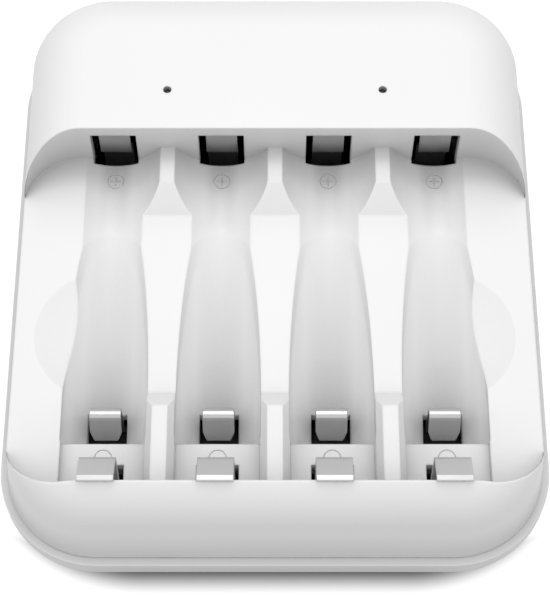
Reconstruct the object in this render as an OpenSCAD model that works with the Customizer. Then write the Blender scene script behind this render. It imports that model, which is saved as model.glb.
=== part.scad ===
// Four-slot charger for AA and AAA cells: a two-shell moulded case with an open bay,
// pressed leaf contacts at both ends of each slot and one circuit board underneath.

/* [Cell slots] */
// Spacing between neighbouring cell slots
slot_pitch = 15.4; // [15.2:0.1:18]
// Length of an AA cell over its button
aa_length = 50.5; // [49:0.1:51]
// Length of an AAA cell over its button
aaa_length = 44.5; // [43:0.1:45]
// Radius of the trough that an AA cell lies in
aa_trough_r = 7.4; // [7.3:0.05:7.5]
// Radius of the trough that an AAA cell lies in
aaa_trough_r = 5.8; // [5.4:0.05:6]
// Height of the bay deck above the table
deck_z = 14.5; // [13.5:0.1:15.5]
// Depth of an AA trough below the deck
aa_trough_depth = 1.3; // [1:0.1:1.6]
// Height of an AAA trough's floor at its front end
aaa_front_z = 7.6; // [7.6:0.1:9]
// Distance from the head wall to where the AAA floor meets the AA floor
aaa_merge = 12; // [9:0.5:16]
// Room between a seated AAA cell's base and the step in front of it
step_gap = 0.9; // [0.7:0.1:1.5]
// How much narrower the shelf in front of that step is than the trough, on each side
shelf_inset = 0.1; // [0.05:0.05:0.3]

/* [Case] */
// Width of the case outside the middle of the end slots, on each side
side_margin = 14.8; // [14:0.1:18]
// Depth of the head block behind the bay
head_depth = 27.9; // [26:0.1:32]
// Depth of the lip in front of the bay
lip_depth = 6.3; // [6:0.1:8]
// Room in front of a seated AA cell, over the plate's set-back
bay_spare = 3.2; // [2.6:0.1:5]
// Height of the case
case_h = 22.5; // [22:0.1:25]
// Height of the seam between the two shells
seam_z = 6; // [5.8:0.1:6]
// Corner radius of the rim in plan
rim_r = 13.8; // [13:0.1:16]
// Width of the rim ledge that stands out around the upper shell
ledge_w = 1.05; // [0.6:0.05:1.4]
// Height of the vertical side of the rim
rim_h = 2.2; // [1.6:0.1:3]
// Radius of the rounded top edge
top_r = 8; // [7:0.1:8.2]
// Draft of the upper shell's sides in degrees
side_draft = 6; // [4:0.5:8]
// Wall thickness of both shells
wall = 1.6; // [1.2:0.1:1.7]
// How far the drafted side sinks into the rounded top edge
side_sink = 0.02; // [0.01:0.01:0.05]
// Open seam between the shells
seam_gap = 0.3; // [0.1:0.05:0.5]
// Thickness of the locating tongue inside the seam
tongue_t = 1; // [0.8:0.1:1.2]
// Height of the locating tongue above the seam
tongue_h = 1.2; // [0.8:0.1:2]
// Clearance of the locating tongue in the upper shell
tongue_gap = 0.15; // [0.1:0.05:0.3]
// Corner radius of the bay in plan
bay_r = 8.5; // [7:0.1:9]
// How far the bay runs out through the shell's sides at the deck
bay_overrun = 0.15; // [0.1:0.05:0.5]

/* [Dividers and scoops] */
// Height of the dividers above the deck
divider_h = 2.9; // [2:0.1:3.4]
// Length of the flat top of a back divider
back_divider_l = 5.7; // [4:0.1:8]
// Length of the sloped end of a back divider
back_slope_l = 3.9; // [2:0.1:6]
// Length of the flat top of a front divider
front_divider_l = 12.2; // [10:0.1:15]
// Length of the sloped end of a front divider
front_slope_l = 3.1; // [2:0.1:6]
// Radius of a finger scoop's edge on the deck
scoop_r = 9.8; // [8:0.1:11]
// Depth of a finger scoop at the middle of its ball
scoop_depth = 2; // [1:0.1:2.4]
// How far a finger scoop reaches past the middle of an end slot
scoop_reach = 10.2; // [8:0.1:10.5]
// Distance of the scoops from the head wall
scoop_back = 28.6; // [26:0.1:32]

/* [Contacts] */
// Width of a window in the head wall
window_w = 6.5; // [5.6:0.1:7]
// Height of the strip of head wall above a window
window_top = 2; // [1.8:0.1:2.5]
// How far a window is cut into the trough in front of the head wall
window_foot = 0.6; // [0.4:0.1:1.2]
// Set-back of a positive plate behind the head wall
plate_setback = 1.2; // [0.8:0.1:1.3]
// Width of a positive plate
plate_w = 4.5; // [4:0.1:5]
// Height of a positive plate's face
plate_h = 6; // [5:0.1:7]
// How far a positive contact steps back below its plate
plate_step = 2.2; // [1.8:0.1:3]
// Height over which a positive contact steps back
plate_step_h = 1.6; // [1.2:0.1:2]
// Length of a positive contact's foot on the board
plate_foot = 2; // [1.5:0.1:3]
// Gap between the top of a positive plate and the top of its window
plate_gap = 0.3; // [0.2:0.05:0.5]
// Thickness of the contact strip
strip_t = 0.35; // [0.25:0.05:0.4]
// Width of an AA spring leaf
aa_leaf_w = 4.8; // [4:0.1:5]
// Width of the slot under an AA spring leaf
aa_slot_w = 5.7; // [5.5:0.1:6]
// Length of the slot under an AA spring leaf
aa_slot_l = 5; // [4.8:0.1:5.4]
// Distance of that slot from the front of the bay
aa_slot_in = 0.3; // [0.2:0.05:0.5]
// Distance of an AA leaf's root from the front of the bay
aa_root_in = 2.2; // [2:0.1:2.4]
// Lean of an AA leaf's leg toward the cell, where it passes the floor
aa_lean = 0.4; // [0.2:0.1:0.6]
// Distance of the fold at an AA leaf's tip from the front of the bay
aa_tip_in = 0.3; // [0.3:0.1:1.4]
// Height of that fold above the middle of a cell
aa_tip_h = 1.6; // [1.5:0.1:2]
// Length of the flat edge in front of that fold, over the lip
aa_edge_l = 0.7; // [0.4:0.1:1]
// Width of an AAA spring tab
aaa_tab_w = 4.3; // [3.6:0.1:4.6]
// Width of the slot around an AAA spring tab
aaa_slot_w = 5.4; // [5.2:0.1:5.8]
// Length of the slot around an AAA spring tab
aaa_slot_l = 5.6; // [5.4:0.1:6.4]
// Distance of that slot from the step in front of it
aaa_slot_in = 0.3; // [0.2:0.05:0.5]
// Forward give of an AA leaf's nose when a cell is in
aa_give = 0.4; // [0.3:0.05:0.5]
// Forward give of an AAA tab's crest when a cell is in
aaa_give = 2.95; // [2.5:0.05:3]
// Height of an AAA tab's crest above the front of its trough
aaa_crest_h = 5.5; // [5:0.1:6]
// Angle at which an AAA tab's free leg leaves its crest
aaa_fold = 150; // [145:1:155]
// Length of an AAA tab's free leg
aaa_leg_l = 3.4; // [2.8:0.1:3.4]
// Radius of the bends in the contact strip
bend_r = 0.9; // [0.6:0.1:1.2]
// Gap between a leaf's root and the board
root_gap = 0.25; // [0.2:0.05:0.4]

/* [Board] */
// Thickness of the circuit board
board_t = 1.2; // [1:0.1:1.3]
// Height of the board's posts above the floor
post_h = 1.6; // [1.5:0.1:1.6]
// Diameter of the board's posts
post_d = 5; // [4:0.1:6]
// Width of the board
board_w = 54; // [52:0.5:55]
// Gap between the board and the walls and bosses
board_gap = 0.8; // [0.5:0.1:1]
// Width of the charging inlet's metal shell
inlet_w = 7.6; // [7:0.1:9]
// Height of the charging inlet's metal shell
inlet_h = 2.7; // [2.5:0.1:3]
// Length of the charging inlet's metal shell
inlet_l = 5.6; // [5:0.1:7]
// Thickness of the charging inlet's metal shell
inlet_t = 0.3; // [0.25:0.05:0.4]
// Set-back of the inlet's mouth from the back of the upper shell
inlet_setback = 0.6; // [0.3:0.1:1]
// Clearance around the inlet in the back wall
inlet_gap = 0.5; // [0.3:0.05:0.8]
// Diameter of an indicator hole in the head
lamp_d = 1.2; // [1:0.1:2]
// Distance of the indicators behind the head wall
lamp_back = 6.5; // [6:0.1:7.5]
// Height of an indicator lamp on the board
lamp_h = 1.2; // [0.8:0.1:1.6]
// Diameter of a light pipe
pipe_d = 2.4; // [2.2:0.1:3]
// Clearance of a light pipe's tip in its hole
pipe_gap = 0.06; // [0.04:0.01:0.1]

// Gap between a lamp and the foot of its light pipe
lamp_gap = 0.3; // [0.2:0.05:0.5]
// Width of an indicator lamp
lamp_w = 3; // [2:0.1:3.2]
// Width of the charge controller
chip_w = 9; // [6:0.1:9.4]
// Length of the charge controller
chip_l = 6; // [4:0.1:7]
// Height of the charge controller
chip_h = 1.6; // [1:0.1:1.8]
// Width of a switch transistor
transistor_w = 4; // [3:0.1:4.6]
// Length of a switch transistor
transistor_l = 3; // [2:0.1:3.2]
// Height of a switch transistor
transistor_h = 1.4; // [1:0.1:1.6]
// Diameter of a drum choke
choke_d = 6; // [5:0.1:6.2]
// Height of a drum choke
choke_h = 5; // [4:0.1:6]
// Thickness of a drum choke's flanges
choke_flange = 1; // [0.6:0.1:1.2]
// Depth of the waist between a drum choke's flanges
choke_waist = 0.6; // [0.3:0.1:0.8]
// Spacing between neighbouring drum chokes
choke_pitch = 13.9; // [13.5:0.1:14]
// Distance of the drum chokes behind the indicators
choke_back = 5.4; // [5.2:0.1:5.6]
// Diameter of a smoothing capacitor
can_d = 6.3; // [5:0.1:6.4]
// Height of a smoothing capacitor
can_h = 8; // [6:0.5:9]
// Distance of the smoothing capacitors behind the indicators
can_back = 11.4; // [11.2:0.1:11.6]

/* [Fasteners] */
// Diameter of a case screw's shank
screw_d = 2; // [1.8:0.1:2.2]
// Diameter of a case screw's head
screw_head_d = 3.8; // [3.4:0.1:4]
// Height of a case screw's head
screw_head_h = 1.4; // [1.2:0.1:1.6]
// Length of a case screw's shank
screw_l = 8; // [7:0.5:9]
// Depth of a screw's pocket in the underside
pocket_depth = 2.2; // [2:0.1:2.6]
// Clearance around a screw
screw_gap = 0.1; // [0.05:0.05:0.15]
// Diameter of a screw boss in the upper shell
boss_d = 5; // [4.8:0.1:5.2]
// Wall of a screw boss around its pocket in the lower shell
boss_wall = 1.2; // [1:0.1:1.3]
// Distance of the front screws from the side of the rim
front_boss_in = 6.6; // [6.4:0.1:7]
// Distance of the front screws from the front of the bay
front_boss_back = 10; // [9:0.5:12]
// Distance of the back screws from the side and the back of the rim
back_boss_in = 9.6; // [9.2:0.1:10.5]

/* [Hidden] */
$fn = 64;
// A cut runs this far past the face it opens
past = 1;
slots = [1, 2, 3, 4];
sides = [-1, 1];
middle_slot = 2.5;
function slot_x(i) = (i - middle_slot) * slot_pitch;

// Overall plan and the two ends of the bay
rim_w = 3 * slot_pitch + 2 * side_margin;
rim_l = head_depth + aa_length - plate_setback + bay_spare + lip_depth;
head_y = rim_l / 2 - head_depth;
front_y = lip_depth - rim_l / 2;

// Section of the upper shell, measured from the axis of a plan corner
seam_x = rim_r - ledge_w;
round_z = case_h - top_r;
tangent_z = round_z + top_r * sin(side_draft);
round_x = seam_x - (tangent_z - seam_z) * tan(side_draft) - top_r * cos(side_draft);

// Section of the lower shell
ledge_z = seam_z - seam_gap;
under_r = ledge_z - rim_h;
tongue_x = seam_x - wall / cos(side_draft) - tongue_gap;
tray_x = tongue_x - tongue_t;
tray_in = rim_r - tray_x;

// Heights in the bay
aa_floor_z = deck_z - aa_trough_depth;
aa_axis_z = aa_floor_z + aa_trough_r;
divider_z = deck_z + divider_h;
window_z = case_h - window_top;
roof_z = case_h - wall;
side_x = rim_w / 2 - ledge_w - (deck_z - seam_z) * tan(side_draft);
bay_w = 2 * (side_x + bay_overrun);

// The AAA troughs slope down to a step just in front of a seated cell's base
plate_y = head_y + plate_setback;
step_y = plate_y - aaa_length - step_gap;
aaa_tilt = atan((aa_floor_z - aaa_front_z) / (head_y - aaa_merge - step_y));
aaa_run = (head_y - step_y) / cos(aaa_tilt) - aaa_trough_r;

// Board and what stands on it
board_z = wall + post_h;
board_top = board_z + board_t;
root_z = board_top + root_gap;
board_l = rim_l - 2 * tray_in - 2 * board_gap;

// Places of the screws and of the indicators
front_boss = [rim_w / 2 - front_boss_in, front_y + front_boss_back];
back_boss = [rim_w / 2 - back_boss_in, rim_l / 2 - back_boss_in];
low_boss_d = screw_head_d + 2 * screw_gap + 2 * boss_wall;
lamp_y = head_y + lamp_back;

// Springs: the AA leaf's nose and the AAA tab's crest touch the cell, and both turn at the board
nose = [plate_y - aa_length + aa_give, aa_axis_z - bend_r];
aa_root = [front_y + aa_root_in, root_z];
crest = [plate_y - aaa_length * cos(aaa_tilt) + aaa_give, aaa_front_z + aaa_crest_h];
aaa_root = [crest[0] + bend_r, root_z];
aaa_slot_y = step_y + aaa_slot_in;

// Points of an arc in a plane
function arc(c, r, from, to, steps) =
    [for (k = [0:steps]) let (turn = from + (to - from) * k / steps) c + r * [cos(turn), sin(turn)]];

// Mitred outline of a strip of even thickness that follows a path
function unit(v) = v / norm(v);
function across(a, b) = let (d = unit(b - a)) [-d[1], d[0]];
function mitre(p, i) =
    let (a = i > 0 ? across(p[i - 1], p[i]) : across(p[0], p[1]))
    let (b = i < len(p) - 1 ? across(p[i], p[i + 1]) : a)
    (a + b) / (1 + a * b);
module strip(path) {
    last = len(path) - 1;
    left = [for (i = [0:last]) path[i] + mitre(path, i) * strip_t / 2];
    right = [for (i = [last:-1:0]) path[i] - mitre(path, i) * strip_t / 2];
    polygon(concat(left, right));
}

// A profile drawn in the YZ plane and given a width along X
module wide(w) {
    rotate([90, 0, 90])
        linear_extrude(w, center = true)
            children();
}

// A shell section carried round the rounded rectangle of the rim: two crossing prisms and four corners.
// A section is drawn from the axis of a plan corner, and reaches inward by $reach.
module swept() {
    core_x = rim_w / 2 - rim_r;
    core_y = rim_l / 2 - rim_r;
    rotate([90, 0, 0])
        linear_extrude(2 * core_y, center = true)
            both_sides(core_x)
                children();
    rotate([90, 0, 90])
        linear_extrude(2 * core_x, center = true)
            both_sides(core_y)
                children();
    for (sx = [0, 1], sy = [0, 1])
        mirror([sx, 0, 0])
            mirror([0, sy, 0])
                translate([core_x, core_y, 0])
                    corner()
                        children();
}
module both_sides(d) {
    $reach = d;
    for (s = [0, 1])
        mirror([s, 0])
            translate([d, 0])
                children();
}
module corner() {
    $reach = 0;
    rotate_extrude(angle = 90)
        children();
}

// Upper shell outside: a drafted side that sinks a hair into the round of the top edge
module upper_section() {
    middle = [round_x, round_z];
    meet = middle + (top_r - side_sink) * [cos(side_draft), sin(side_draft)];
    polygon([[-$reach, seam_z], [seam_x, seam_z], meet, [round_x, case_h], [-$reach, case_h]]);
    translate(middle)
        intersection() {
            circle(top_r);
            square(top_r);
        }
}

// Upper shell inside: the same side one wall further in, with a plain bevel under the rounded edge
module cavity_section() {
    low = seam_z - past;
    touch = [round_x, round_z] + (top_r - wall) * [cos(side_draft), sin(side_draft)];
    low_x = touch[0] + (touch[1] - low) * tan(side_draft);
    polygon([[-$reach, low], [low_x, low], touch, [round_x, roof_z], [-$reach, roof_z]]);
}

// Lower shell: a short upright rim over an underside that tucks in on a quarter round
module lower_section() {
    under_x = rim_r - under_r;
    translate([-$reach, 0])
        square([under_x + $reach, ledge_z]);
    translate([under_x, under_r])
        square([under_r, rim_h]);
    translate([under_x, under_r])
        intersection() {
            circle(under_r);
            translate([0, -under_r])
                square(under_r);
        }
}

// A plain band of section from one height to another
module band(x, low, high) {
    translate([-$reach, low])
        square([x + $reach, high - low]);
}

// Rounded rectangle from two crossing bars and four round corners
module rounded(w, l, r) {
    square([w - 2 * r, l], center = true);
    square([w, l - 2 * r], center = true);
    for (sx = sides, sy = sides)
        translate([sx * (w / 2 - r), sy * (l / 2 - r)])
            circle(r);
}

// The open bay in plan: a rounded rectangle that runs out through both sides of the shell,
// so that the head wall and the lip end in sweeps. It is grown by a wall for its lining.
module bay(grow, low) {
    translate([0, (head_y + front_y) / 2, low])
        linear_extrude(case_h + past - low)
            rounded(bay_w + 2 * grow, head_y - front_y + 2 * grow, bay_r + grow);
}

// Round-bottomed trough of an AA slot, grown by a wall for its lining, that runs past both ends of the bay
module aa_trough(i, grow, run) {
    translate([slot_x(i), head_y + run, aa_axis_z])
        rotate([90, 0, 0])
            cylinder(r = aa_trough_r + grow, h = head_y - front_y + 2 * run);
}

// Sloping U-shaped trough of an AAA slot with an upright step at its front, grown by a wall for its lining
module aaa_trough(i, grow) {
    r = aaa_trough_r + grow;
    ahead = aaa_trough_r;
    difference() {
        translate([slot_x(i), step_y, aaa_front_z])
            rotate([aaa_tilt, 0, 0])
                translate([0, aaa_run, aaa_trough_r])
                    rotate([90, 0, 0])
                        linear_extrude(aaa_run + ahead) {
                            circle(r);
                            translate([-r, 0])
                                square([2 * r, aa_trough_r]);
                        }
        translate([slot_x(i) - slot_pitch, step_y - grow - 2 * ahead, 0])
            cube([2 * slot_pitch, 2 * ahead, 2 * case_h]);
    }
}

// Flat shelf between an AAA trough's step and the lip, grown by a wall for its lining, that runs into the lip
module shelf(i, grow, run) {
    half = aaa_trough_r - shelf_inset + grow;
    translate([slot_x(i) - half, front_y - run, aa_floor_z - grow])
        cube([2 * half, step_y - front_y + run + past, aa_axis_z - aa_floor_z + grow]);
}

// Blocks between the slots, sloped at the end that faces the middle of the bay
module divider_blocks() {
    low = deck_z - past;
    back_end = head_y - back_divider_l;
    front_end = front_y + front_divider_l;
    for (k = [-1:1])
        translate([k * slot_pitch, 0, 0])
            wide(slot_pitch) {
                polygon([[head_y + past, low], [head_y + past, divider_z], [back_end, divider_z],
                    [back_end - back_slope_l, deck_z], [back_end - back_slope_l, low]]);
                polygon([[front_y - past, low], [front_y - past, divider_z], [front_end, divider_z],
                    [front_end + front_slope_l, deck_z], [front_end + front_slope_l, low]]);
            }
}

// Finger scoops, cut by a ball into the rails outside the two end slots
module scoops() {
    ball_r = (scoop_r * scoop_r + scoop_depth * scoop_depth) / (2 * scoop_depth);
    low = deck_z - scoop_depth;
    for (m = [0, 1])
        mirror([m, 0, 0])
            intersection() {
                translate([slot_x(4) + scoop_reach - scoop_r, head_y - scoop_back, low + ball_r])
                    sphere(ball_r);
                translate([slot_x(4), head_y - scoop_back - scoop_r, low])
                    cube([scoop_reach + past, 2 * scoop_r, scoop_depth + past]);
            }
}

// Window in the head wall, open down into the trough's floor at its foot
module window(i) {
    low = aa_floor_z - wall - past;
    translate([slot_x(i) - window_w / 2, head_y - window_foot, low])
        cube([window_w, window_foot + wall + past, window_z - low]);
}

// Slots that the two springs stand in
module spring_slots(i) {
    low = seam_z - past;
    translate([slot_x(i) - aa_slot_w / 2, front_y + aa_slot_in, low])
        cube([aa_slot_w, aa_slot_l, aa_axis_z - low]);
    translate([slot_x(i) - aaa_slot_w / 2, aaa_slot_y, low])
        cube([aaa_slot_w, aaa_slot_l, aaa_crest_h]);
}

module at_bosses() {
    for (s = sides, p = [front_boss, back_boss])
        translate([s * p[0], p[1], 0])
            children();
}

module inlet_hole() {
    w = inlet_w + 2 * inlet_gap;
    translate([-w / 2, rim_l / 2 - tray_in - tongue_t, board_top - inlet_gap])
        cube([w, tray_in + tongue_t + past, inlet_h + 2 * inlet_gap]);
}

// Outer skin with the lining of the bay, the troughs and the screw bosses left standing inside
module upper_shell() {
    difference() {
        swept()
            upper_section();
        difference() {
            swept()
                cavity_section();
            bay(wall, deck_z - wall);
            for (i = slots) {
                aa_trough(i, wall, wall);
                aaa_trough(i, wall);
                shelf(i, wall, wall);
            }
            at_bosses()
                translate([0, 0, seam_z - 2 * past])
                    cylinder(d = boss_d, h = case_h);
        }
    }
}

// The shell with its bay opened and the slots cut
module slotted_shell() {
    difference() {
        difference() {
            difference() {
                upper_shell();
                difference() {
                    bay(0, deck_z);
                    divider_blocks();
                }
            }
            intersection() {
                bay(0, aa_floor_z - past);
                for (i = slots) {
                    aa_trough(i, 0, past);
                    shelf(i, 0, past);
                }
            }
        }
        for (i = slots)
            aaa_trough(i, 0);
    }
}

module upper_case() {
    bore_top = pocket_depth + screw_l + past;
    color("whitesmoke")
        difference() {
            difference() {
                slotted_shell();
                scoops();
            }
            for (i = slots) {
                window(i);
                spring_slots(i);
            }
            at_bosses()
                translate([0, 0, seam_z - past])
                    cylinder(d = screw_d + 2 * screw_gap, h = bore_top - seam_z + past);
            for (s = sides)
                translate([s * slot_pitch, lamp_y, roof_z - past])
                    cylinder(d = lamp_d, h = wall + 2 * past);
            inlet_hole();
        }
}

module lower_case() {
    color("gainsboro")
        difference() {
            union() {
                difference() {
                    union() {
                        swept()
                            lower_section();
                        swept()
                            band(tongue_x, wall, seam_z + tongue_h);
                    }
                    swept()
                        band(tray_x, wall, seam_z + tongue_h + past);
                }
                at_bosses()
                    cylinder(d = low_boss_d, h = seam_z);
                for (sx = sides, sy = sides)
                    translate([sx * board_w / 3, sy * board_l / 3, 0])
                        cylinder(d = post_d, h = board_z);
            }
            at_bosses() {
                translate([0, 0, -past])
                    cylinder(d = screw_head_d + 2 * screw_gap, h = pocket_depth + past);
                cylinder(d = screw_d + 2 * screw_gap, h = seam_z + past);
            }
            inlet_hole();
        }
}

module main_board() {
    color("black")
        translate([0, 0, board_z])
            difference() {
                translate([-board_w / 2, -board_l / 2, 0])
                    cube([board_w, board_l, board_t]);
                at_bosses()
                    translate([0, 0, -past])
                        cylinder(d = low_boss_d + 2 * board_gap, h = board_t + 2 * past);
            }
}

// Folded metal shell with a contact tongue, its mouth just inside the back wall
module usb_inlet() {
    mouth_y = rim_l / 2 - ledge_w - inlet_setback;
    tongue_w = inlet_w / 2;
    color("silver")
        translate([0, mouth_y, board_top + inlet_h / 2])
            rotate([90, 0, 0]) {
                difference() {
                    linear_extrude(inlet_l)
                        rounded(inlet_w, inlet_h, inlet_h / 4);
                    translate([0, 0, -past])
                        linear_extrude(inlet_l - inlet_t + past)
                            rounded(inlet_w - 2 * inlet_t, inlet_h - 2 * inlet_t, inlet_h / 4 - inlet_t);
                }
                translate([-tongue_w / 2, -inlet_t, past])
                    cube([tongue_w, 2 * inlet_t, inlet_l - past - inlet_t / 2]);
            }
}

module charge_controller() {
    color("dimgray")
        translate([-chip_w / 2, head_y - chip_l, board_top])
            cube([chip_w, chip_l, chip_h]);
}

// Positive plate behind its window, stepped back below and soldered by a foot
module positive_contact(i) {
    y = plate_y + strip_t / 2;
    top = window_z - plate_gap;
    back = y + plate_step;
    foot_z = board_top + strip_t / 2;
    color("lightgray")
        translate([slot_x(i), 0, 0])
            wide(plate_w)
                strip([[y, top], [y, top - plate_h], [back, top - plate_h - plate_step_h],
                    [back, foot_z], [back + plate_foot, foot_z]]);
}

// AA spring: a leg from the board up through the floor, a round nose and a leaf folded flat over the lip
module aa_contact(i) {
    knee = [aa_root[0] + aa_lean, aa_floor_z];
    tip = [front_y + aa_tip_in, aa_axis_z + aa_tip_h];
    bend = nose - [bend_r, 0];
    fold = atan2(tip[1] - bend[1], tip[0] - bend[0]) - acos(bend_r / norm(tip - bend));
    color("silver")
        translate([slot_x(i), 0, 0])
            wide(aa_leaf_w)
                strip(concat([aa_root, knee], arc(bend, bend_r, 0, fold, 4), [tip, tip - [aa_edge_l, 0]]));
}

// AAA spring: a leg from the board, a tight crest and a free leg with cut corners
module aaa_contact(i) {
    bend = crest - [0, bend_r];
    turn = arc(bend, bend_r, 0, aaa_fold, 6);
    tip = turn[6] + aaa_leg_l * [-sin(aaa_fold), cos(aaa_fold)];
    cut = aaa_tab_w / 6;
    half = aaa_tab_w / 2;
    near = tip[0] - strip_t;
    far = aaa_root[0] + past;
    color("silver")
        translate([slot_x(i), 0, 0])
            intersection() {
                wide(aaa_tab_w)
                    strip(concat([aaa_root], turn, [tip]));
                linear_extrude(case_h)
                    polygon([[-half, far], [-half, tip[0] + cut], [cut - half, near],
                        [half - cut, near], [half, tip[0] + cut], [half, far]]);
            }
}

// Drum chokes, one for each slot, with their winding in a waist between two flanges
module power_inductors() {
    r = choke_d / 2;
    waist = r - choke_waist;
    low = choke_flange;
    high = choke_h - choke_flange;
    for (i = slots)
        color("darkslategray")
            translate([(i - middle_slot) * choke_pitch, lamp_y + choke_back, board_top])
                rotate_extrude()
                    polygon([[0, 0], [r, 0], [r, low], [waist, low], [waist, high],
                        [r, high], [r, choke_h], [0, choke_h]]);
}

module switch_transistors() {
    for (i = slots)
        color("dimgray")
            translate([slot_x(i) - transistor_w / 2, head_y - chip_l - transistor_l, board_top])
                cube([transistor_w, transistor_l, transistor_h]);
}

module smoothing_capacitors() {
    for (s = sides)
        color("lightslategray")
            translate([s * slot_pitch, lamp_y + can_back, board_top])
                cylinder(d = can_d, h = can_h);
}

module lamp(s) {
    color("palegreen")
        translate([s * slot_pitch - lamp_w / 2, lamp_y - lamp_w / 2, board_top])
            cube([lamp_w, lamp_w, lamp_h]);
}

// Clear rod over a lamp, hung from the roof by its flange with a fine tip in the indicator hole
module light_pipe(s) {
    flange = 1;
    tip_h = wall / 2;
    foot = board_top + lamp_h + lamp_gap;
    color("aliceblue")
        translate([s * slot_pitch, lamp_y, 0]) {
            translate([0, 0, foot])
                cylinder(d = pipe_d, h = roof_z - foot);
            translate([0, 0, roof_z - flange])
                cylinder(d = pipe_d + 2 * flange, h = flange);
            translate([0, 0, roof_z - flange])
                cylinder(d = lamp_d - 2 * pipe_gap, h = flange + tip_h);
        }
}

module case_screws() {
    color("slategray")
        at_bosses() {
            translate([0, 0, pocket_depth - screw_head_h])
                cylinder(d = screw_head_d, h = screw_head_h);
            translate([0, 0, pocket_depth - screw_head_h])
                cylinder(d = screw_d, h = screw_head_h + screw_l);
        }
}

upper_case();
lower_case();
main_board();
usb_inlet();
charge_controller();
for (i = slots) {
    positive_contact(i);
    aa_contact(i);
    aaa_contact(i);
}
power_inductors();
switch_transistors();
smoothing_capacitors();
lamp(-1);  // lamp_1
lamp(1);  // lamp_2
light_pipe(-1);  // light_pipe_1
light_pipe(1);  // light_pipe_2
case_screws();
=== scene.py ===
import math

import bmesh
import bpy
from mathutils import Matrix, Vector


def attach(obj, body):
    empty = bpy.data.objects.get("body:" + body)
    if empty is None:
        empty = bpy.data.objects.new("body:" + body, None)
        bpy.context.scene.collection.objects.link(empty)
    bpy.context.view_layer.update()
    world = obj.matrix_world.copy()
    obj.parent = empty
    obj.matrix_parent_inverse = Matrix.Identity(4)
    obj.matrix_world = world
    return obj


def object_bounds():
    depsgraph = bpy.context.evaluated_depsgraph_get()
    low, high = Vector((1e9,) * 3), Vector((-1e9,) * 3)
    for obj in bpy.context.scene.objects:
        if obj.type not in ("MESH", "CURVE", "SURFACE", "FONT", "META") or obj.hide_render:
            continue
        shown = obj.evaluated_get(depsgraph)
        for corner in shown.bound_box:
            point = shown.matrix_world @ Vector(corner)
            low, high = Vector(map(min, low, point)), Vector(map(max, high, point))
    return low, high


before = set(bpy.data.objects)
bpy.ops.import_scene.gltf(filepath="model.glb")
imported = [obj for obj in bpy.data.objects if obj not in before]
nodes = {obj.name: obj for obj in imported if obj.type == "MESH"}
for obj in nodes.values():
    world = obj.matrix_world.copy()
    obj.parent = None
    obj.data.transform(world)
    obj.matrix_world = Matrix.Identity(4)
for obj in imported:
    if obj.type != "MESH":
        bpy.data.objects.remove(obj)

# The case: two thin white shells, moulded in ABS from the same pellets and screwed together from below.
# The moulds were spark-eroded, which leaves soft edges and a fine skin with a gentle sheen.
# Painted shade greys the white in recesses, low down and on trough floors; outer edges get a painted
# highlight.
MM = 0.001
cad_box = [list(corner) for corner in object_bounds()]
scene = bpy.context.scene
edge_round = 0.5 * MM
skin_grit = 0.3 * MM  # coarser than the real skin, which no render of this size shows
flow_patch = 18 * MM
# Painted shade: how far the occlusion reaches, where the white greys low down, and where it is lifted near
# the lip.
painted_shade_reach = 14 * MM
grey_below_z, white_above_z = 8 * MM, 13 * MM
trough_top_z, trough_end_z = 13.3 * MM, 13.7 * MM
shelf_y = -28.7 * MM
shelf_lift_from, shelf_lift_to = -29 * MM, -25 * MM
side_lift_from, side_lift_to = -24 * MM, -4 * MM
painted_shade_share, plain_share = 0.24, 0.8


def linear(code):
    """An sRGB hex colour as linear RGBA."""
    parts = [int(code[i:i + 2], 16) / 255 for i in (1, 3, 5)]
    return [c / 12.92 if c <= 0.04045 else ((c + 0.055) / 1.055) ** 2.4 for c in parts] + [1.0]


def add(tree, kind, feeds=(), **settings):
    """Adds one node, sets it by name, and feeds other nodes' outputs or plain values to its sockets."""
    item = tree.nodes.new(kind)
    for name, value in settings.items():
        if hasattr(item, name):
            setattr(item, name, value)
        else:
            item.inputs[name.replace("_", " ")].default_value = value
    for source, socket in feeds:
        if isinstance(source, bpy.types.NodeSocket):
            tree.links.new(source, item.inputs[socket])
        else:
            item.inputs[socket].default_value = source
    return item


def finish_named(name):
    """A new material and its emptied node tree."""
    material = bpy.data.materials.new(name)
    material.use_nodes = True
    material.node_tree.nodes.clear()
    return material, material.node_tree


def surface(tree, shader):
    """Sends a shader to the material's output."""
    add(tree, "ShaderNodeOutputMaterial", [(shader.outputs[0], "Surface")])


def cover(material, *names):
    """Gives whole nodes one finish."""
    for name in names:
        nodes[name].data.materials.clear()
        nodes[name].data.materials.append(material)


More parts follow.
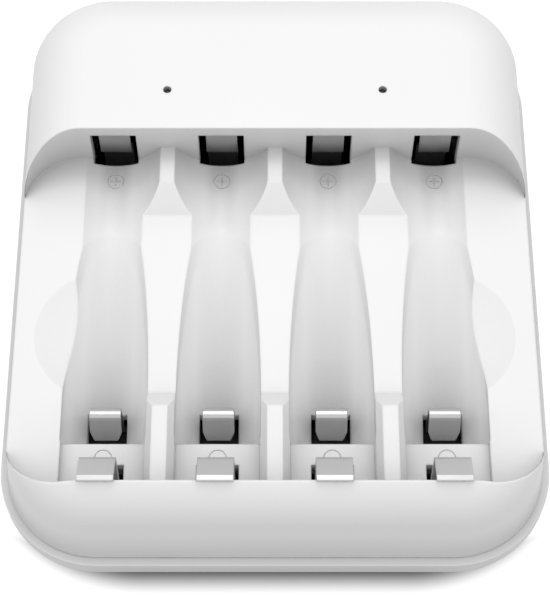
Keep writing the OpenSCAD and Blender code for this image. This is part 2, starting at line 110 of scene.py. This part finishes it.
def moulded_abs_painted_shade(name, code, painted_shade_code):
    """White ABS as moulded: a soft sheen, broken by a skin of dimples too fine to see singly.

    Painted shade runs the white from painted_shade_code in a recess to code in the open; a painted highlight
    whitens an outer edge.
    """
    material, tree = finish_named(name)
    place = add(tree, "ShaderNodeTexCoord")
    spot = add(tree, "ShaderNodeSeparateXYZ", [(place.outputs["Object"], "Vector")])
    flat = add(tree, "ShaderNodeNewGeometry")
    rise = add(tree, "ShaderNodeSeparateXYZ", [(flat.outputs["Normal"], "Vector")])

    # Painted shade, by how open the place is: a trough's sides count as more open, its floor as less, the
    # bay's front as more.
    hollow = add(tree, "ShaderNodeAmbientOcclusion", samples=16, only_local=True, Distance=painted_shade_reach)
    shut = add(tree, "ShaderNodeMath", [(1.0, 0), (hollow.outputs["AO"], 1)], operation="SUBTRACT")
    lean = add(tree, "ShaderNodeMapRange", [(rise.outputs["Z"], "Value")],
               From_Min=0.8, From_Max=1.0, To_Min=0.45, To_Max=-0.6)
    low = add(tree, "ShaderNodeMapRange", [(spot.outputs["Z"], "Value")],
              From_Min=trough_top_z, From_Max=trough_end_z, To_Min=1.0, To_Max=0.0)
    behind = add(tree, "ShaderNodeMath", [(spot.outputs["Y"], 0), (shelf_y, 1)], operation="GREATER_THAN")
    trough = add(tree, "ShaderNodeMath", [(low.outputs[0], 0), (behind.outputs[0], 1)],
                 operation="MULTIPLY")
    deep = add(tree, "ShaderNodeMath", [(lean.outputs[0], 0), (trough.outputs[0], 1)],
               operation="MULTIPLY")
    shelf = add(tree, "ShaderNodeMapRange", [(spot.outputs["Y"], "Value")],
                interpolation_type="SMOOTHSTEP",
                From_Min=shelf_lift_from, From_Max=shelf_lift_to, To_Min=0.4, To_Max=0.0)
    steep = add(tree, "ShaderNodeMapRange", [(rise.outputs["Z"], "Value")],
                From_Min=0.5, From_Max=0.8, To_Min=1.0, To_Max=0.0)
    forward = add(tree, "ShaderNodeMapRange", [(spot.outputs["Y"], "Value")],
                  interpolation_type="SMOOTHSTEP",
                  From_Min=side_lift_from, From_Max=side_lift_to, To_Min=0.6, To_Max=0.0)
    flank = add(tree, "ShaderNodeMath", [(steep.outputs[0], 0), (forward.outputs[0], 1)],
                operation="MULTIPLY")
    front = add(tree, "ShaderNodeMath", [(shelf.outputs[0], 0), (flank.outputs[0], 1)],
                operation="MAXIMUM")
    eased = add(tree, "ShaderNodeMath", [(deep.outputs[0], 0), (front.outputs[0], 1)], operation="ADD")
    painted_openness = add(tree, "ShaderNodeMath",
                   [(shut.outputs[0], 0), (eased.outputs[0], 1), (hollow.outputs["AO"], 2)],
                   operation="MULTIPLY_ADD")

    # The white itself: painted shade greys it low down, and a painted highlight lifts it along outer edges.
    height = add(tree, "ShaderNodeMapRange", [(spot.outputs["Z"], "Value")],
                 From_Min=grey_below_z, From_Max=white_above_z, To_Min=0.78, To_Max=1.0)
    bright = add(tree, "ShaderNodeMath", [(painted_openness.outputs[0], 0), (height.outputs[0], 1)],
                 operation="MULTIPLY")
    edge = add(tree, "ShaderNodeBevel", samples=8, Radius=edge_round)
    turn = add(tree, "ShaderNodeVectorMath", [(edge.outputs[0], 0), (flat.outputs["Normal"], 1)],
               operation="DOT_PRODUCT")
    ridge = add(tree, "ShaderNodeMapRange", [(turn.outputs["Value"], "Value")],
                From_Min=0.8, From_Max=0.99, To_Min=0.3, To_Max=0.0)
    outer = add(tree, "ShaderNodeMapRange", [(hollow.outputs["AO"], "Value")], From_Min=0.6, From_Max=0.85)
    painted_edge_glint = add(tree, "ShaderNodeMath",
                [(ridge.outputs[0], 0), (outer.outputs[0], 1), (bright.outputs[0], 2)],
                operation="MULTIPLY_ADD")
    share = add(tree, "ShaderNodeMath", [(painted_edge_glint.outputs[0], 0), (plain_share, 1)], operation="MULTIPLY")
    white = add(tree, "ShaderNodeValToRGB", [(share.outputs[0], "Fac")])
    white.color_ramp.elements[0].position = painted_shade_share
    white.color_ramp.elements[0].color = linear(painted_shade_code)
    white.color_ramp.elements[1].color = linear("#ffffff")
    white.color_ramp.elements.new(plain_share).color = linear(code)

    # The skin and the sheen.
    dimples = add(tree, "ShaderNodeTexNoise", [(place.outputs["Object"], "Vector")],
                  Scale=1 / skin_grit, Detail=3.0)
    skin = add(tree, "ShaderNodeBump", [(dimples.outputs["Fac"], "Height"), (edge.outputs[0], "Normal")],
               Strength=0.05, Distance=skin_grit / 8)
    flow = add(tree, "ShaderNodeTexNoise", [(place.outputs["Object"], "Vector")],
               Scale=1 / flow_patch, Detail=2.0)
    sheen = add(tree, "ShaderNodeMapRange", [(flow.outputs["Fac"], "Value")], To_Min=0.34, To_Max=0.46)
    surface(tree, add(tree, "ShaderNodeBsdfPrincipled",
                      [(white.outputs["Color"], "Base Color"), (skin.outputs[0], "Normal"),
                       (sheen.outputs[0], "Roughness")], IOR=1.53))
    return material


# The case's white carries painted shade and a painted edge highlight.
cover(moulded_abs_painted_shade("moulded_white_abs", "#eeeeee", "#aeaeae"), "upper_case", "lower_case")

# Polarity signs: fine lines that the mould leaves on each slot's floor, a plus by the head and a minus by
# the lip, each in a ring. They use the case's ABS finish in a greyer white: painted shade for what lines
# this fine hold.
slots = (1, 2, 3, 4)
slots_middle = 2.5
slot_pitch = 15.4 * MM
trough_r = 7.4 * MM
trough_axis_z = 20.6 * MM
shelf_z = trough_axis_z - trough_r
sign_ring = 1.15 * MM
sign_bar = 0.72 * MM
ring_steps = 40
bar_steps = 4
line_w = 0.17 * MM
line_h = 0.04 * MM
line_top = 0.8  # share of the line's width that its flat top keeps
plus_y = 12.15 * MM
minus_y = -30.75 * MM


def hollow_floor(x):
    """Height of an AA slot's round floor at a distance from its middle."""
    return trough_axis_z - math.sqrt(trough_r ** 2 - x ** 2)


def flat_floor(x):
    """Height of the flat shelf by the lip."""
    return shelf_z


def circle(radius, steps):
    """Points round a circle."""
    angles = [2 * math.pi * k / steps for k in range(steps)]
    return [Vector((math.cos(a), math.sin(a))) * radius for a in angles]


def as_piece(work, name):
    """Turns a worked mesh into a piece of the scene."""
    bmesh.ops.recalc_face_normals(work, faces=work.faces)
    mesh = bpy.data.meshes.new(name)
    work.to_mesh(mesh)
    work.free()
    piece = bpy.data.objects.new(name, mesh)
    scene.collection.objects.link(piece)
    return piece


def fine_lines(name, paths, floor, x, y):
    """A piece of flat-topped lines that follow paths round (x, y) on a floor."""
    work = bmesh.new()
    section = ((1, -line_h), (line_top, line_h), (-line_top, line_h), (-1, -line_h))
    corners = len(section)
    for path, closed in paths:
        rings = []
        last = len(path) - 1
        for k, point in enumerate(path):
            before = path[k - 1] if closed or k > 0 else point
            after = path[(k + 1) % len(path)] if closed or k < last else point
            side = (after - before).orthogonal().normalized() * line_w / 2
            ring = []
            for across, lift in section:
                spot = point + side * across
                ring.append(work.verts.new((x + spot.x, y + spot.y, floor(spot.x) + lift)))
            rings.append(ring)
        for a, b in zip(rings, rings[1:] + rings[:1] if closed else rings[1:]):
            for k in range(corners):
                after = (k + 1) % corners
                work.faces.new((a[k], a[after], b[after], b[k]))
        if not closed:
            work.faces.new(rings[0])
            work.faces.new(rings[-1])
    return as_piece(work, name)


ring_path = circle(sign_ring, ring_steps)
steps = [sign_bar * k / bar_steps for k in range(-bar_steps, bar_steps + 1)]
level_bar = [Vector((step, 0)) for step in steps]
upright_bar = [Vector((0, step)) for step in steps]
minus_paths = [(ring_path, True), (level_bar, False)]
plus_paths = minus_paths + [(upright_bar, False)]
# Painted shade: the lines are a greyer white than the case.
painted_shade_lines = moulded_abs_painted_shade("abs_line_painted_shade", "#bababa", "#9a9a9a")
for i in slots:
    middle = (i - slots_middle) * slot_pitch
    for sign in (fine_lines(f"plus_sign_{i}", plus_paths, hollow_floor, middle, plus_y),
                 fine_lines(f"minus_sign_{i}", minus_paths, flat_floor, middle, minus_y)):
        sign.data.materials.append(painted_shade_lines)
        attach(sign, "charger")

# The circuit board: glass-fibre laminate under a black solder mask, which is what shows dark in every slot.
# Copper runs lie under the mask and lift it a little.
track_pitch = 1.27 * MM
run_length = 6 * track_pitch
mask, tree = finish_named("black_solder_mask")
place = add(tree, "ShaderNodeTexCoord")
tracks = add(tree, "ShaderNodeTexBrick", [(place.outputs["Object"], "Vector")], Scale=1 / run_length,
             Color1=linear("#0d1012"), Color2=linear("#101416"), Mortar=linear("#1a2024"), Mortar_Size=0.03)
lifted = add(tree, "ShaderNodeBump", [(tracks.outputs["Fac"], "Height")], Strength=0.2, Distance=0.05 * MM)
surface(tree, add(tree, "ShaderNodeBsdfPrincipled",
                  [(tracks.outputs["Color"], "Base Color"), (lifted.outputs[0], "Normal")], Roughness=0.42))
cover(mask, "main_board")

# Packages on the board: black epoxy from a transfer mould, with a fine dull grain.
# The controller and the four switch transistors are the same compound.
grain = 0.12 * MM  # coarser than the real filler, which would not show
epoxy, tree = finish_named("moulded_black_epoxy")
place = add(tree, "ShaderNodeTexCoord")
speckle = add(tree, "ShaderNodeTexNoise", [(place.outputs["Object"], "Vector")], Scale=1 / grain, Detail=2.0)
tone = add(tree, "ShaderNodeValToRGB", [(speckle.outputs["Fac"], "Fac")])
tone.color_ramp.elements[0].color = linear("#131313")
tone.color_ramp.elements[1].color = linear("#242424")
dull = add(tree, "ShaderNodeBump", [(speckle.outputs["Fac"], "Height")], Strength=0.3, Distance=grain / 4)
surface(tree, add(tree, "ShaderNodeBsdfPrincipled",
                  [(tone.outputs["Color"], "Base Color"), (dull.outputs[0], "Normal")], Roughness=0.6))
cover(epoxy, "charge_controller", "switch_transistors")

# Drum chokes: ground ferrite, dark grey and slightly sparkling, wound with enamelled copper in the waist.
# The winding is drawn as fine rings at the wire's spacing.
wire = 0.35 * MM
wave_rate = 20  # Blender's wave texture turns 20 radians in one unit of its scale
ferrite, tree = finish_named("ground_ferrite")
place = add(tree, "ShaderNodeTexCoord")
winding = add(tree, "ShaderNodeTexWave", [(place.outputs["Object"], "Vector")], bands_direction="Z",
              Scale=2 * math.pi / (wave_rate * wire))
speck = add(tree, "ShaderNodeTexNoise", [(place.outputs["Object"], "Vector")], Scale=1 / grain)
tone = add(tree, "ShaderNodeValToRGB", [(speck.outputs["Fac"], "Fac")])
tone.color_ramp.elements[0].color = linear("#222324")
tone.color_ramp.elements[1].color = linear("#3a3b3c")
rings = add(tree, "ShaderNodeBump", [(winding.outputs["Fac"], "Height")], Strength=0.3, Distance=wire / 3)
surface(tree, add(tree, "ShaderNodeBsdfPrincipled",
                  [(tone.outputs["Color"], "Base Color"), (rings.outputs[0], "Normal")], Roughness=0.55))
cover(ferrite, "power_inductors")

# Smoothing capacitors: small cans drawn from aluminium sheet and soldered upright on the board.
# Drawing leaves a satin that is clouded at under a millimetre.
draw_patch = 0.6 * MM


def clouded(name, patch, detail, low_rough, high_rough, code, **body):
    """A plain-coloured finish whose shine drifts in patches of a real size."""
    material, tree = finish_named(name)
    place = add(tree, "ShaderNodeTexCoord")
    cloud = add(tree, "ShaderNodeTexNoise", [(place.outputs["Object"], "Vector")],
                Scale=1 / patch, Detail=detail)
    rough = add(tree, "ShaderNodeMapRange", [(cloud.outputs["Fac"], "Value")],
                To_Min=low_rough, To_Max=high_rough)
    surface(tree, add(tree, "ShaderNodeBsdfPrincipled", [(rough.outputs[0], "Roughness")],
                      Base_Color=linear(code), **body))
    return material


cover(clouded("drawn_aluminium", draw_patch, 4.0, 0.25, 0.42, "#c9cacc", Metallic=1.0),
      "smoothing_capacitors")

# Contacts and inlet: spring strip, nickel plated over copper alloy and pressed to shape.
# Rolling leaves hairlines along the strip, so highlights spread sideways and the shine varies a little.
hairline = 0.08 * MM  # coarser than real ones, so that they still spread a highlight
hairline_stretch = 0.04
plating_patch = 2.5 * MM
strip_edge = 0.22 * MM


def nickel_strip(name, low_rough, high_rough):
    """Bright nickel on rolled strip, with hairlines along the strip's length."""
    material, tree = finish_named(name)
    place = add(tree, "ShaderNodeTexCoord")
    along = hairline_stretch / hairline
    stretch = add(tree, "ShaderNodeMapping", [(place.outputs["Object"], "Vector"),
                                              ((1 / hairline, along, along), "Scale")])
    lines = add(tree, "ShaderNodeTexNoise", [(stretch.outputs[0], "Vector")], Scale=1.0, Detail=2.0)
    cloud = add(tree, "ShaderNodeTexNoise", [(place.outputs["Object"], "Vector")], Scale=1 / plating_patch)
    rough = add(tree, "ShaderNodeMapRange", [(cloud.outputs["Fac"], "Value")],
                To_Min=low_rough, To_Max=high_rough)
    edge = add(tree, "ShaderNodeBevel", samples=8, Radius=strip_edge)
    brushed = add(tree, "ShaderNodeBump", [(lines.outputs["Fac"], "Height"), (edge.outputs[0], "Normal")],
                  Strength=0.08, Distance=hairline / 4)
    surface(tree, add(tree, "ShaderNodeBsdfPrincipled",
                      [(rough.outputs[0], "Roughness"), (brushed.outputs[0], "Normal")],
                      Base_Color=linear("#c6c6c6"), Metallic=0.85))
    return material


nickel = nickel_strip("nickel_plated_strip", 0.26, 0.38)
cover(nickel, "usb_inlet", *[f"{kind}_contact_{i}" for kind in ("positive", "aa", "aaa") for i in slots])

# Lamps and light pipes: a pale resin dome on the board, and a smoky acrylic rod that ends in the head's
# fine hole. Unlit, the rod's tip looks like a dark dot.
resin_patch = 1.2 * MM
acrylic_patch = 3 * MM
cover(clouded("cast_clear_resin", resin_patch, 2.0, 0.15, 0.3, "#e4e2b0", Transmission_Weight=0.4, IOR=1.5),
      "lamp_1", "lamp_2")
cover(clouded("moulded_smoked_acrylic", acrylic_patch, 2.0, 0.12, 0.25, "#4a4d50",
              Transmission_Weight=0.3, IOR=1.49),
      "light_pipe_1", "light_pipe_2")

# Case screws: zinc-plated steel, slightly blue and clouded by the passivation, sunk in the underside.
# Each head ends in a face that the header has punched a cross into, for the driver.
front_boss = (31.3, -27.05)
back_boss = (28.3, 33.75)
screw_places = [(side * x * MM, y * MM) for side in (-1, 1) for x, y in (front_boss, back_boss)]
zinc_patch = 0.8 * MM
head_r = 1.85 * MM
head_steps = 48
head_face_z = 0.8 * MM
cross_depth = 0.3 * MM
cross_sunk = 0.02 * MM
cross_arm = 1.15 * MM
cross_half = 0.26 * MM
quarter_turns = ((1, 0), (0, 1), (-1, 0), (0, -1))


def cross_face(name, x, y):
    """A head's end face: a thin disc with a cross punched through to the metal behind it."""
    work = bmesh.new()
    arm = [(cross_arm, -cross_half), (cross_arm, cross_half), (cross_half, cross_half)]
    cross = [(px * c - py * s, px * s + py * c) for c, s in quarter_turns for px, py in arm]
    edges = []
    for loop in (circle(head_r, head_steps), cross):
        points = [work.verts.new((x + px, y + py, head_face_z - cross_depth)) for px, py in loop]
        edges += [work.edges.new((points[k - 1], points[k])) for k in range(len(points))]
    faces = [item for item in bmesh.ops.triangle_fill(work, use_beauty=True, edges=edges)["geom"]
             if isinstance(item, bmesh.types.BMFace)]
    raised = bmesh.ops.extrude_face_region(work, geom=faces, use_keep_orig=True)["geom"]
    bmesh.ops.translate(work, vec=(0, 0, cross_depth + cross_sunk),
                        verts=[item for item in raised if isinstance(item, bmesh.types.BMVert)])
    return as_piece(work, name)


zinc = clouded("zinc_plated_steel", zinc_patch, 3.0, 0.28, 0.5, "#a8abb0", Metallic=1.0)
cover(zinc, "case_screws")
for i, (x, y) in enumerate(screw_places, 1):
    drive = cross_face(f"screw_drive_{i}", x, y)
    drive.data.materials.append(zinc)
    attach(drive, "charger")

# Floor: a wide sheet of matt white paper that the charger stands on, laid a hair below it.
# It glows white to the eye everywhere but in front of the charger, which paints out the shade beside and
# behind it; in front the glow fades and a darker paper colour adds painted shadow. From below it is clear,
# so that the underside can be seen.
floor_half = 3.0
floor_z = -0.02 * MM
shade_half = 18 * MM
shade_y = -20 * MM
shade_inset = 1.5 * MM
shade_reach = 2.9 * MM
side_shade_y, side_clear_y = -42 * MM, -36 * MM
shade_glow, open_glow = 0.02, 0.8
touch = 0.3 * MM
front_reach = abs(cad_box[0][1]) - abs(shade_y)


def to_the_eye(tree):
    """One for what is seen directly, mirrored or through something clear, and nothing for other light."""
    ray = add(tree, "ShaderNodeLightPath")
    seen = add(tree, "ShaderNodeMath",
               [(ray.outputs["Is Camera Ray"], 0), (ray.outputs["Is Glossy Ray"], 1)], operation="MAXIMUM")
    return add(tree, "ShaderNodeMath", [(seen.outputs[0], 0), (ray.outputs["Is Transmission Ray"], 1)],
               operation="MAXIMUM")


sheet_corners = [(sx * floor_half, sy * floor_half, floor_z)
                 for sx, sy in ((-1, -1), (1, -1), (1, 1), (-1, 1))]
sweep = bpy.data.meshes.new("floor")
sweep.from_pydata(sheet_corners, [], [(0, 1, 2, 3)])
floor = bpy.data.objects.new("floor", sweep)
scene.collection.objects.link(floor)
paper, tree = finish_named("white_paper_sweep")
place = add(tree, "ShaderNodeTexCoord")
split = add(tree, "ShaderNodeSeparateXYZ", [(place.outputs["Object"], "Vector")])
wide = add(tree, "ShaderNodeMath", [(split.outputs["X"], 0)], operation="ABSOLUTE")
past_x = add(tree, "ShaderNodeMath", [(wide.outputs[0], 0), (shade_half, 1)], operation="SUBTRACT")
clear_x = add(tree, "ShaderNodeMath", [(past_x.outputs[0], 0), (0.0, 1)], operation="MAXIMUM")
past_y = add(tree, "ShaderNodeMath", [(split.outputs["Y"], 0), (shade_y, 1)], operation="SUBTRACT")
clear_y = add(tree, "ShaderNodeMath", [(past_y.outputs[0], 0), (0.0, 1)], operation="MINIMUM")
both = add(tree, "ShaderNodeCombineXYZ", [(clear_x.outputs[0], "X"), (clear_y.outputs[0], "Y")])
away = add(tree, "ShaderNodeVectorMath", [(both.outputs[0], 0)], operation="LENGTH")
# Painted light: the glow to the eye fades only in front of the charger.
fade = add(tree, "ShaderNodeMapRange", [(away.outputs["Value"], "Value")], interpolation_type="SMOOTHSTEP",
           From_Min=front_reach - shade_inset, From_Max=front_reach + shade_reach,
           To_Min=shade_glow, To_Max=open_glow)
beside = add(tree, "ShaderNodeMapRange", [(split.outputs["Y"], "Value")], interpolation_type="SMOOTHSTEP",
             From_Min=side_shade_y, From_Max=side_clear_y, To_Min=shade_glow, To_Max=open_glow)
paper_glow = add(tree, "ShaderNodeMath", [(fade.outputs[0], 0), (beside.outputs[0], 1)], operation="MAXIMUM")
eye = to_the_eye(tree)
lift = add(tree, "ShaderNodeMath", [(eye.outputs[0], 0), (paper_glow.outputs[0], 1)], operation="MULTIPLY")
glow = add(tree, "ShaderNodeEmission", [(lift.outputs[0], "Strength")], Color=linear("#ffffff"))
# Painted shadow: the paper is darker where its glow fades, in front of the charger.
painted_shadow_paper = add(tree, "ShaderNodeValToRGB", [(paper_glow.outputs[0], "Fac")])
painted_shadow_paper.color_ramp.elements[0].color = linear("#6c6c6c")
painted_shadow_paper.color_ramp.elements[1].color = linear("#b0b0b0")
matt = add(tree, "ShaderNodeBsdfDiffuse", [(painted_shadow_paper.outputs["Color"], "Color")])
sheet = add(tree, "ShaderNodeAddShader", [(matt.outputs[0], 0), (glow.outputs[0], 1)])
side = add(tree, "ShaderNodeNewGeometry")
ray = add(tree, "ShaderNodeLightPath")
touching = add(tree, "ShaderNodeMath", [(ray.outputs["Ray Length"], 0), (touch, 1)], operation="LESS_THAN")
from_below = add(tree, "ShaderNodeMath", [(side.outputs["Backfacing"], 0), (touching.outputs[0], 1)],
                 operation="MAXIMUM")
clear = add(tree, "ShaderNodeBsdfTransparent")
surface(tree, add(tree, "ShaderNodeMixShader",
                  [(from_below.outputs[0], 0), (sheet.outputs[0], 1), (clear.outputs[0], 2)]))
sweep.materials.append(paper)

# Studio: a pale room, brighter overhead than at its skirting and in front than behind, and white to the eye.
# One small soft box hangs overhead and a little behind.
front_wall, back_wall = 1.06, 0.82
wall_turn = 0.6
skirting, ceiling = 0.15, 1.18
ceiling_from = 0.7
box_place = Vector((0, 0.27, 0.54))
box_size = 0.15
box_watts = 0.4
world = bpy.data.worlds.new("pale_room")
scene.world = world
world.use_nodes = True
tree = world.node_tree
tree.nodes.clear()
eye = to_the_eye(tree)
unseen = add(tree, "ShaderNodeMath", [(1.0, 0), (eye.outputs[0], 1)], operation="SUBTRACT")
place = add(tree, "ShaderNodeTexCoord")
split = add(tree, "ShaderNodeSeparateXYZ", [(place.outputs["Generated"], "Vector")])
wall_glow = add(tree, "ShaderNodeMapRange", [(split.outputs["Y"], "Value")], interpolation_type="SMOOTHSTEP",
                From_Min=-wall_turn, From_Max=wall_turn, To_Min=front_wall, To_Max=back_wall)
off_level = add(tree, "ShaderNodeMath", [(split.outputs["Z"], 0)], operation="ABSOLUTE")
height_glow = add(tree, "ShaderNodeMapRange", [(off_level.outputs[0], "Value")],
                  From_Min=0.0, From_Max=ceiling_from, To_Min=skirting, To_Max=ceiling)
room_glow = add(tree, "ShaderNodeMath", [(wall_glow.outputs[0], 0), (height_glow.outputs[0], 1)],
                operation="MULTIPLY")
strength = add(tree, "ShaderNodeMath",
               [(room_glow.outputs[0], 0), (unseen.outputs[0], 1), (eye.outputs[0], 2)],
               operation="MULTIPLY_ADD")
room = add(tree, "ShaderNodeBackground", [(strength.outputs[0], "Strength")], Color=linear("#ffffff"))
add(tree, "ShaderNodeOutputWorld", [(room.outputs[0], "Surface")])
box_light = bpy.data.lights.new("overhead_soft_box", "AREA")
box_light.size = box_size
box_light.energy = box_watts
soft_box = bpy.data.objects.new("overhead_soft_box", box_light)
soft_box.location = box_place
soft_box.rotation_euler = (-box_place).to_track_quat("-Z", "Y").to_euler()
scene.collection.objects.link(soft_box)

# Camera: in front and well above, as someone standing at the table would look down on the charger.
# Its lens is given in pixels of the photograph's height, and colours are shown as they are written.
lens_px = 1755
frame_px = 600
sensor = 36.0
nearest = 0.01
camera_place = (0, -117.25 * MM, 233.3 * MM)
camera_tilt = 26.6
camera_data = bpy.data.cameras.new("camera")
camera_data.sensor_fit = "VERTICAL"
camera_data.sensor_height = sensor
camera_data.lens = lens_px / frame_px * sensor
camera_data.clip_start = nearest
camera = bpy.data.objects.new("camera", camera_data)
camera.location = camera_place
camera.rotation_euler = (math.radians(camera_tilt), 0, 0)
scene.collection.objects.link(camera)
scene.camera = camera
scene.view_settings.view_transform = "Standard"
